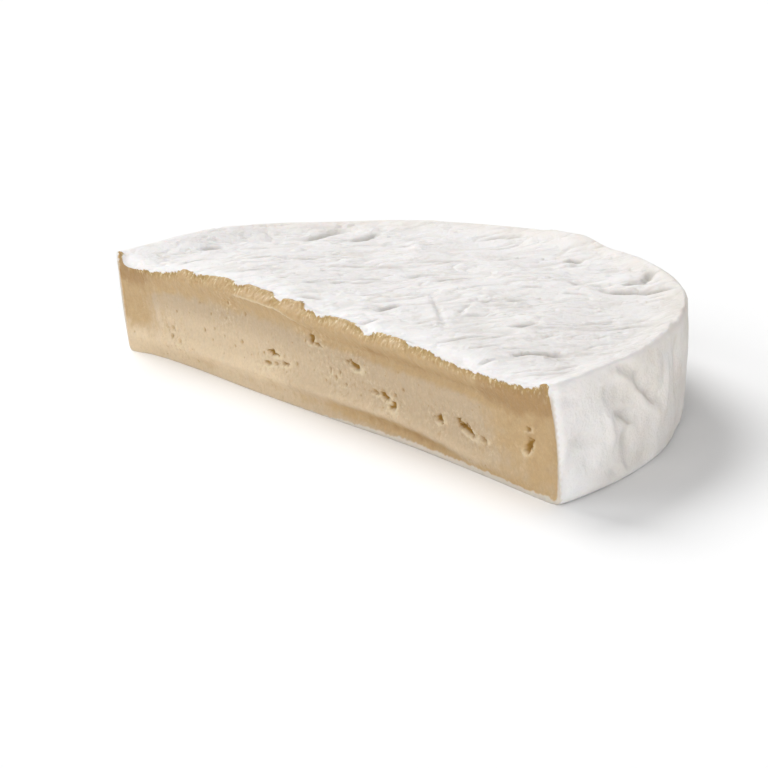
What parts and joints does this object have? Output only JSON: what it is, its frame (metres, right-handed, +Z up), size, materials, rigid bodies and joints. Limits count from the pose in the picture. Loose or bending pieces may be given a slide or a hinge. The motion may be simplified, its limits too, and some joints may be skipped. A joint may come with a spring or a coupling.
{
  "type": "half cheese wheel",
  "caption": "Half of a round soft-ripened cheese wheel with a white bloomy rind, cut across the middle so that its cream paste shows. Lies flat on its underside.",
  "frame": {"origin": "centre of the bounding box's underside: in the middle of the foot that the half wheel lies on", "axes": "+X along the cut, +Y from the cut face towards the rim, +Z up through the top rind"},
  "size_m": [0.2416, 0.123, 0.0376],
  "materials": {
    "cheese": "dry matt white bloomy rind; where it is cut, moist cream to tan paste with small eyes"
  },
  "bodies": {
    "root": {"cheese_half_wheel": "cheese"}
  },
  "joints": []
}
